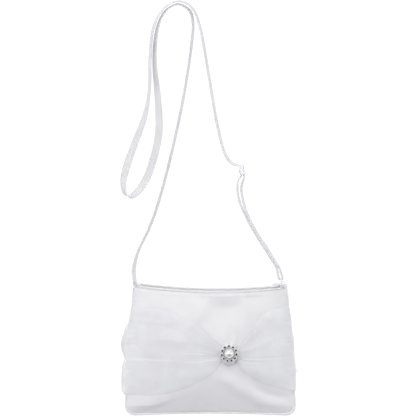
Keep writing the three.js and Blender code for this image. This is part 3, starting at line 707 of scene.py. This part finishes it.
def make_zip_coils():
    """Each coil is one nylon wire wound along the tape's edge, its turns meshing with the other's."""
    turn_steps, sides, wire = 14, 6, 0.3
    count = int((ZIP_RIGHT - ZIP_LEFT) / COIL_PITCH)
    for name, sign, phase in (("back", -1, 0.0), ("front", 1, 0.5)):
        rings = []
        for i in range(count * turn_steps):
            turns = i / turn_steps
            angle = 2 * math.pi * turns
            x = ZIP_LEFT + 0.6 + (turns + phase) * COIL_PITCH + 0.18 * math.sin(2 * angle)
            if x > ZIP_RIGHT - 0.3:
                break
            reach = -0.42 + COIL_REACH * (0.5 - 0.5 * math.cos(angle))
            rise = 0.75 + COIL_RISE * 0.5 * math.sin(angle)
            centre = zip_point(x, sign * reach, rise)
            run, side, out = zip_axes(math.asin((x - MOUTH_X) / ZIP_R))[:3]
            nose = 1.0 + 0.25 * max(0.0, math.cos(angle))
            for k in range(sides):
                turn = 2 * math.pi * k / sides
                across = side * math.sin(angle) + out * math.cos(angle)
                offset = run * math.cos(turn) + across * math.sin(turn) * nose
                rings.append(centre + offset * wire)
        faces = closed_faces(len(rings) // sides, sides)
        turned_out(mesh_piece(f"zip_coil_{name}_wound", rings, faces, "purse", NYLON, "zip_nylon",
                              [f"zip_coil_{name}"]))


def make_zip():
    make_zip_tapes()
    make_zip_coils()
    for node, width in (("zip_slider", 0.28), ("zip_bail", 0.22), ("zip_puller", 0.18),
                        ("zip_stop_left", 0.25), ("zip_stop_right", 0.25)):
        bevelled(node, width, ENAMEL)


# ------------------------------------------------------------------ sash
LEFT_WING = {
    "sign": -1, "flat": (0.1, 0.098),
    "top": [(10.7, 4), (2, 12), (-11, 24), (-31, 34), (-53, 41), (-71, 41)],
    "low": [(10.7, -13), (4, -22), (-12, -32), (-32, -40.5), (-56, -45.5), (-77, -45)],
    "puff": [(-45, 1.5), (-41, 4.3), (-33, 5.2), (-21, 5.8), (-13, 4.6), (-9, 3.4), (-5, 5.4), (-1, 7.2),
             (7, 8.8), (15, 6.6), (23, 4.6), (27, 2.2), (41, 0.8)],
}
RIGHT_WING = {
    "sign": 1, "flat": (0.066, 0.082),
    "top": [(26.7, 3), (33, 8), (42, 20), (52, 34), (63, 40), (72, 41)],
    "low": [(26.7, -14), (32, -21.5), (41, -28), (53, -34), (65, -38), (76, -41)],
    "puff": [(-41, 1.0), (-33, 1.9), (-25, 2.3), (-21, 3.4), (-17, 2.8), (-9, 2.0), (3, 2.8), (11, 2.8),
             (19, 1.8), (27, 1.8), (41, 0.8)],
}
RIM = [(0.4, 0.2, 10.6), (0.5, 0.7, 9.8), (0.4, 1.0, 6.5), (0.8, 0.6, 3.0)]
# Creases in the sash: a line of places, height, and width on each side.
SASH_FOLDS = [
    ([(-90, 28), (-66, 27.5), (-42, 25.5)], 0.35, 1.4, 3.5),
    ([(-92, 11), (-50, 11), (-18, 8), (6, 2)], 0.7, 5, 9),
    ([(-92, -6), (-74, -8), (-58, -9.5), (-40, -10)], -0.45, 1.3, 3.2),
    ([(-30, -11), (-12, -11), (6, -8), (14, -4)], -0.6, 2, 4),
    ([(-84, -11), (-74, -11), (-66, -13)], 0.15, 3, 1.5),
    ([(-80, -26), (-50, -30), (-16, -22)], 0.6, 7, 7),
    ([(26, -5), (44, 2), (64, 11)], 0.8, 4, 3),
    ([(26, -8.5), (50, -9), (84, -7)], -0.2, 1.0, 1.4),
    ([(27, -10), (38, -12.5), (50, -13)], -0.35, 0.8, 1.2),
    ([(28, -13), (46, -23), (66, -29), (84, -31)], 0.7, 5, 6),
    ([(48, 22), (50, 15), (45, 9)], -0.5, 3, 3),
]


def side_edge(y, sign):
    v = np.clip((y - BOTTOM) / (MOUTH_Y - FRONT_R - BOTTOM), 0, 1)
    return sign * half_width(v)


def wing_surface(wing, s, t):
    """Places on a wing: s from the knot to the side seam, t from its upper edge to its lower."""
    top = centripetal(wing["top"], 1.0)
    low = centripetal(wing["low"], 1.0)
    share_top, share_low = np.linspace(0, 1, len(top)), np.linspace(0, 1, len(low))
    edge = [np.interp(s, share, line[:, k]) for share, line in ((share_top, top), (share_low, low))
            for k in (0, 1)]
    x = edge[0] * (1 - t) + edge[2] * t
    y = edge[1] * (1 - t) + edge[3] * t
    tall = np.hypot(edge[2] - edge[0], edge[3] - edge[1])
    relief = sum(ridge(x, y, *fold) for fold in SASH_FOLDS)
    gathers = 0.32 * wander(t * 30, s * 4, 1.0, 50.0 + wing["sign"]) * np.exp(-4.0 * s)
    slack = 0.35 * wander(x * 0.35, y, 13, 60.0) * np.clip(s * 3, 0, 1)
    inside = 1 - np.exp(-np.minimum(t, 1 - t) * tall / 4)
    satin = front_surface(x, y)
    smooth = satin * 0.4 + (front_height(*front_place(x, y)) + SEAM_GAP) * 0.6
    clear = np.maximum(smooth + 0.4 * inside, satin)
    stand = SASH_LIFT * (0.28 + 0.72 * inside)
    return x, y, clear + stand + gathers * inside + inside * np.maximum(relief + slack + 0.3, -0.4)


def wing_rim(wing, s, t):
    """Places past the side seam, where the wing puffs out and turns under in two scallops."""
    x1, y1, z1 = wing_surface(wing, np.ones(s.shape), t)
    heights, reaches = zip(*wing["puff"])
    puff = np.interp(y1, heights, reaches) + 0.5 * wander(s * 3, t * 26, 2.0, 71.0)
    edge = side_edge(y1, wing["sign"])
    knots = [(x1, z1)]
    for start, share, z in RIM:
        knots.append((edge + wing["sign"] * (start + share * puff), z + 0.6 + 0 * t))
    place = s * (len(knots) - 1)
    k = np.clip(np.floor(place).astype(int), 0, len(knots) - 2)
    f = place - k
    px = np.stack([a for a, b in knots])
    pz = np.stack([b for a, b in knots])
    rows, columns = np.indices(s.shape)

    def pick(table, offset):
        return table[np.clip(k + offset, 0, len(knots) - 1), rows, columns]

    def curve(table):
        a, b, c, d = (pick(table, o) for o in (-1, 0, 1, 2))
        return 0.5 * (2 * b + (c - a) * f + (2 * a - 5 * b + 4 * c - d) * f ** 2
                      + (3 * b - a - 3 * c + d) * f ** 3)
    ripple = 0.5 * wander(s * 10, t * 60, 2.2, 77.0)
    return curve(px) + wing["sign"] * ripple * s, y1, curve(pz) + 0.4 * ripple


def make_wing(name, wing):
    along, around, across = 110, 34, 190
    s, t = np.meshgrid(np.linspace(0, 1, along), np.linspace(0, 1, across), indexing="ij")
    main = np.stack(wing_surface(wing, s, t), -1)
    s, t = np.meshgrid(np.linspace(0, 1, around)[1:], np.linspace(0, 1, across), indexing="ij")
    rim = np.stack(wing_rim(wing, s, t), -1)
    points = np.concatenate([main, rim]).reshape(-1, 3)
    faces = grid_faces(along + around - 1, across)
    if wing["sign"] < 0:
        faces = [face[::-1] for face in faces]
    piece = mesh_piece(name + "_gathered", points, faces, "purse", ORGANZA, "organza", [name])
    piece.data.materials.append(ORGANZA_PUFF_PAINTED_SHADE)
    # Faces wholly past the side seam take the darker organza, as painted shade.
    painted_shade_past_seam = np.abs(points[:, 0]) > np.abs(side_edge(points[:, 1], 1)) - 0.3
    for polygon in piece.data.polygons:
        polygon.material_index = int(all(painted_shade_past_seam[i] for i in polygon.vertices))
    farthest = np.argmax(wing["sign"] * rim[:, :, 0], axis=0)
    outer = rim[farthest, np.arange(across)]
    edge = tube(name + "_rolled_edge", np.concatenate([main[::3, 0], outer[::2], main[::-3, -1]]),
                0.15, "purse", ORGANZA, "organza")


def tube(name, path, radius, body, material, slot, sides=8):
    """A thin round roll of cloth along a path."""
    path = np.asarray(path, float)
    runs = unit(np.gradient(path, axis=0))
    across = unit(np.cross(runs, [0, 0, 1.0]))
    over = np.cross(across, runs)
    turns = np.linspace(0, 2 * math.pi, sides, endpoint=False)
    points = (path[:, None] + radius * (across[:, None] * np.cos(turns)[:, None]
                                        + over[:, None] * np.sin(turns)[:, None]))
    faces = closed_faces(len(path), sides)
    return turned_out(mesh_piece(name, points.reshape(-1, 3), faces, body, material, slot))


def make_knot():
    """The middle of the sash, drawn in under the brooch in tight upright pleats."""
    around, rings = 96, 14
    base = float(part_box("sash_knot")[0].z) / MM
    points = []
    for i in range(rings):
        r = 1 - i / (rings - 1) * 0.96
        for k in range(around):
            turn = 2 * math.pi * k / around
            pleat = 1 + 0.05 * math.sin(11 * turn + 0.8) + 0.03 * math.sin(23 * turn)
            x = KNOT[0] + KNOT_HALF[0] * r * pleat * math.cos(turn)
            y = KNOT[1] + KNOT_HALF[1] * r * pleat * math.sin(turn)
            swell = (1 - r ** 2.2) ** 0.5
            crest = 0.3 * math.sin(13 * turn + 1.0) * min(1.0, (1 - r) * 4) * r
            points.append((x, y, base - 0.9 + (3.2 + crest) * swell))
    turned_out(mesh_piece("sash_knot_drawn", points, closed_faces(rings, around), "purse",
                          ORGANZA_LAYERS, "organza", ["sash_knot"]))


# ------------------------------------------------------------------ brooch
def brilliant(radius):
    """Points and faces of a round brilliant, its girdle at height 0."""
    rings = [(0.62, 0.34, 8, 0.5), (0.82, 0.2, 8, 0.0), (1.0, 0.03, 16, 0.0), (1.0, -0.03, 16, 0.0),
             (0.1, -0.62, 8, 0.0)]
    work = bmesh.new()
    for share, z, sides, phase in rings:
        for k in range(sides):
            turn = 2 * math.pi * (k + phase) / sides
            work.verts.new((radius * share * math.cos(turn), radius * share * math.sin(turn),
                            radius * z))
    bmesh.ops.convex_hull(work, input=work.verts)
    loose = [v for v in work.verts if not v.link_faces]
    bmesh.ops.delete(work, geom=loose, context="VERTS")
    bmesh.ops.dissolve_limit(work, angle_limit=math.radians(1.0), verts=work.verts, edges=work.edges)
    work.verts.index_update()
    points = [tuple(v.co) for v in work.verts]
    faces = [tuple(v.index for v in f.verts) for f in work.faces]
    work.free()
    return points, faces


def lathe(profile, segments):
    """Points and faces of a turned ring of sections, from pairs of radius and height."""
    points = []
    for r, z in profile:
        for k in range(segments):
            turn = 2 * math.pi * k / segments
            points.append((r * math.cos(turn), r * math.sin(turn), z))
    return points, closed_faces(len(profile), segments)


def claw(place, lean, height, radius):
    """One claw: a short wire up the stone's side, bent in over its girdle."""
    points = []
    inwards = Vector((-math.cos(lean), -math.sin(lean), 0))
    side = Vector((-math.sin(lean), math.cos(lean), 0))
    stations = [(0, 0, 1.0), (0, 0.55, 1.0), (0.06, 0.82, 0.95), (0.3, 0.98, 0.85), (0.55, 1.0, 0.45)]
    sides = 6
    for inward, up, wide in stations:
        centre = Vector(place) + inwards * inward + Vector((0, 0, up * height))
        for k in range(sides):
            turn = 2 * math.pi * k / sides
            offset = side * math.cos(turn) + (inwards * 0.8 + Vector((0, 0, 0.4))) * math.sin(turn)
            points.append(centre + offset * radius * wide)
    return points, closed_faces(len(stations), sides)


def joined(parts):
    """Joins lists of points and faces into one."""
    points, faces = [], []
    for some_points, some_faces in parts:
        start = len(points)
        points += [tuple(p) for p in some_points]
        faces += [tuple(start + i for i in face) for face in some_faces]
    return points, faces


def moved(part, x, y, z):
    points, faces = part
    return [(a + x, b + y, c + z) for a, b, c in points], faces


def middle(low, high):
    """The centre in x and y of a box, in millimetres."""
    return (low.x + high.x) / 2 / MM, (low.y + high.y) / 2 / MM


def make_pearl():
    low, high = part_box("pearl_cup")
    x, y = middle(low, high)
    cup = lathe([(0.2, 0), (3.6, 0), (4.1, 0.35), (4.35, 1.3), (4.5, 2.1), (4.3, 2.15), (3.9, 1.2),
                 (3.2, 0.75), (0.2, 0.7)], 48)
    turned_out(mesh_piece("pearl_cup_turned", *moved(cup, x, y, low.z / MM), "purse", SILVER,
                          "brooch_silver", ["pearl_cup"]))
    low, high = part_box("pearl")
    radius = (high.x - low.x) / 2 / MM
    ball = [(max(0.01, radius * math.sin(a)), radius * math.cos(a))
            for a in np.linspace(math.pi * 0.58, 0.0, 28)]
    sphere = lathe([(0.05, ball[0][1])] + ball, 56)
    turned_out(mesh_piece("pearl_lacquered", *moved(sphere, x, y, high.z / MM - radius), "purse",
                          PEARL, "pearl", ["pearl"]))
    return x, y


def make_stone(number, centre):
    """One rhinestone, its table painted near black as a painted reflection, in a cup with four claws."""
    low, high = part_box(f"stone_{number}")
    x, y = middle(low, high)
    r = (high.x - low.x) / 2 / MM
    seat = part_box(f"stone_cup_{number}")[0].z / MM
    stone = moved(brilliant(r * 0.93), x, y, seat + 1.35)
    cut = turned_out(mesh_piece(f"rhinestone_{number}", *stone, "purse", CRYSTAL, "crystal",
                                [f"stone_{number}"]))
    cut.data.shade_flat()
    # Faces that look straight up take the near-black table: painted reflection.
    cut.data.materials.append(CRYSTAL_TABLE_PAINTED_REFLECTION)
    for polygon in cut.data.polygons:
        polygon.material_index = int(polygon.normal.z > 0.95)
    wall = lathe([(0.3, 0), (0.8 * r, 0), (1.02 * r, 0.55), (1.05 * r, 1.15), (0.9 * r, 1.15),
                  (0.7 * r, 0.4), (0.3, 0.3)], 24)
    parts = [moved(wall, x, y, seat)]
    outwards = math.atan2(y - centre[1], x - centre[0])
    for k in range(4):
        lean = outwards + math.pi / 4 + k * math.pi / 2
        foot = (x + 1.03 * r * math.cos(lean), y + 1.03 * r * math.sin(lean), seat + 0.3)
        parts.append(claw(foot, lean, 1.5, 0.27))
    turned_out(mesh_piece(f"claw_cup_{number}", *joined(parts), "purse", SILVER, "brooch_silver",
                          [f"stone_cup_{number}"]))


def make_brooch():
    bevelled("brooch_base", 0.3, SILVER)
    centre = make_pearl()
    for i in range(1, STONES + 1):
        make_stone(f"{i:02d}", centre)


# ------------------------------------------------------------------ strap
TAPE_SECTION = [(-1, 0.35), (-0.96, 0.85), (-0.88, 1.0), (-0.78, 0.9), (-0.7, 0.62), (-0.35, 0.74),
                (0, 0.78), (0.35, 0.74), (0.7, 0.62), (0.78, 0.9), (0.88, 1.0), (0.96, 0.85), (1, 0.35)]


def sweep_tape(centres, sides, width=TAPE_WIDTH, thick=TAPE_THICK):
    """A satin tape with rolled, stitched edges, along centres, its width along sides."""
    centres = np.asarray(centres, float)
    runs = unit(np.gradient(centres, axis=0))
    sides = unit(np.asarray(sides, float))
    outs = unit(np.cross(runs, sides))
    profile = TAPE_SECTION + [(a, -b) for a, b in reversed(TAPE_SECTION)]
    a = np.array([p[0] for p in profile]) * width / 2
    b = np.array([p[1] for p in profile]) * thick / 2
    points = centres[:, None] + sides[:, None] * a[:, None] + outs[:, None] * b[:, None]
    return points.reshape(-1, 3), closed_faces(*points.shape[:2])


def tape_height(tilt, lift):
    return (lift + TAPE_CLEAR + TAPE_WIDTH / 2 * np.abs(np.sin(np.radians(tilt)))
            + TAPE_THICK / 3 * np.abs(np.cos(np.radians(tilt))))


def laid_tape(route, step=1.6):
    """Centres and side directions of a tape that lies along a route."""
    line = centripetal(route, step)
    run = unit(np.gradient(line[:, :2], axis=0))
    tilt = np.radians(line[:, 2])
    side = np.stack([-run[:, 1] * np.cos(tilt), run[:, 0] * np.cos(tilt), np.sin(tilt)], -1)
    centres = np.column_stack([line[:, :2], tape_height(line[:, 2], line[:, 3])])
    return centres, side


def tape_piece(name, centres, sides, body, replaced=()):
    # The tape takes the darker strap satin, whose colour holds painted shade.
    points, faces = sweep_tape(centres, sides)
    return turned_out(mesh_piece(name, points, faces, body, STRAP_SATIN_PAINTED_SHADE, "strap_satin", replaced))


def adjuster_axes():
    run = unit(np.array([*ADJUSTER_DIR, 0.0]))
    tilt = math.radians(ADJUSTER_TILT)
    side = np.array([-run[1] * math.cos(tilt), run[0] * math.cos(tilt), math.sin(tilt)])
    start = np.array([*ADJUSTER_START, float(tape_height(ADJUSTER_TILT, ADJUSTER_LIFT))])
    return start, run, side, unit(np.cross(run, side))


def make_long_run(start, run):
    """The strap from the mouth's left corner, through the adjuster, to where its drop starts."""
    through = [(*(start + run * d)[:2], ADJUSTER_TILT, ADJUSTER_LIFT)
               for d in (0, 1.5, 3.5, 5.6, ADJUSTER_STRAIGHT)]
    centres, sides = laid_tape([STRAP_SEWN] + STRAP_ROUTE + through)
    long_run = tape_piece("strap_long_run", centres, sides, "purse", ["strap_main"])
    return through[-1]


def make_ring_fold():
    """The strap's turn through the ring."""
    loop = centripetal(LOOP_ROUTE, 0.5)
    centres = np.column_stack([loop, np.full(len(loop), RING_Z)])
    run = unit(np.gradient(centres, axis=0))
    lean = math.sin(math.radians(LOOP_LEAN))
    sides = np.column_stack([lean * run[:, 1], -lean * run[:, 0], np.ones(len(loop))])
    return tape_piece("strap_ring_fold", centres, sides, "ring", ["strap_ring_loop"])


def make_drop(joint, ring_fold):
    """The strap from the adjuster down to the ring."""
    centres, sides = laid_tape([joint] + DROP_ROUTE)
    drop = tape_piece("strap_drop_run", centres, sides, None, ["strap_drop"])
    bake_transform(drop)


def make_tail(start, run, side, out):
    """The strap back up from the ring to its end, folded round the adjuster's centre bar."""
    centre = start + run * ADJUSTER_AT
    leg_end = centre + out * END_OUT + run * END_LEG
    lap = (leg_end[0], leg_end[1], 180 - ADJUSTER_TILT, ADJUSTER_LIFT)
    centres, sides = laid_tape(TAIL_ROUTE + [lap])
    half = len(centres) // 2
    lower = tape_piece("strap_tail_lower", centres[:half + 1], sides[:half + 1], None,
                       ["strap_tail"])
    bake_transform(lower)
    upper = tape_piece("strap_tail_upper", centres[half:], sides[half:], None)
    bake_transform(upper)
    fold = centripetal([(END_OUT, END_LEG)] + END_FOLD, 0.35)
    fold_centres = centre + fold[:, :1] * out + fold[:, 1:] * run
    end_fold = tape_piece("strap_end_fold", fold_centres, np.tile(side, (len(fold), 1)), "adjuster",
                          ["strap_end_loop"])


def make_strap():
    start, run, side, out = adjuster_axes()
    adjuster = bevelled("strap_adjuster", 0.3, ENAMEL)
    joint = make_long_run(start, run)
    ring = bevelled("strap_ring", 0.3, ENAMEL)
    make_drop(joint, make_ring_fold())
    make_tail(start, run, side, out)


def make_tab():
    """The folded satin tab that holds the ring at the mouth's corner."""
    (x, y), (root_x, root_y) = RING_HINGE, TAB_ROOT
    to_root = math.atan2(root_y - y, root_x - x)
    root_x, root_y = root_x + TAB_SEWN * math.cos(to_root), root_y + TAB_SEWN * math.sin(to_root)
    spread = 0.55
    line = [(root_x - spread * math.sin(to_root), root_y + spread * math.cos(to_root))]
    for i in range(7):
        angle = to_root + math.radians(75 + 210 * i / 6)
        line.append((x + TAB_CENTRE_R * math.cos(angle), y + TAB_CENTRE_R * math.sin(angle)))
    line.append((root_x + spread * math.sin(to_root), root_y - spread * math.cos(to_root)))
    curve = centripetal(line, 0.3)
    centres = np.column_stack([curve, np.full(len(curve), RING_Z)])
    points, faces = sweep_tape(centres, np.tile([0, 0, 1.0], (len(curve), 1)), TAB_TALL, 0.6)
    turned_out(mesh_piece("ring_tab_folded", points, faces, "purse", STRAP_SATIN_PAINTED_SHADE, "strap_satin",
                          ["ring_tab"]))


# ------------------------------------------------------------------ the whole purse
make_stage()
make_strap()
make_front()
make_back()
make_lip_stitches()
make_seam()
make_front_lining()
painted(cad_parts["back_lining"], LINING)
make_zip()
make_wing("sash_wing_left", LEFT_WING)
make_wing("sash_wing_right", RIGHT_WING)
make_knot()
make_brooch()
make_tab()
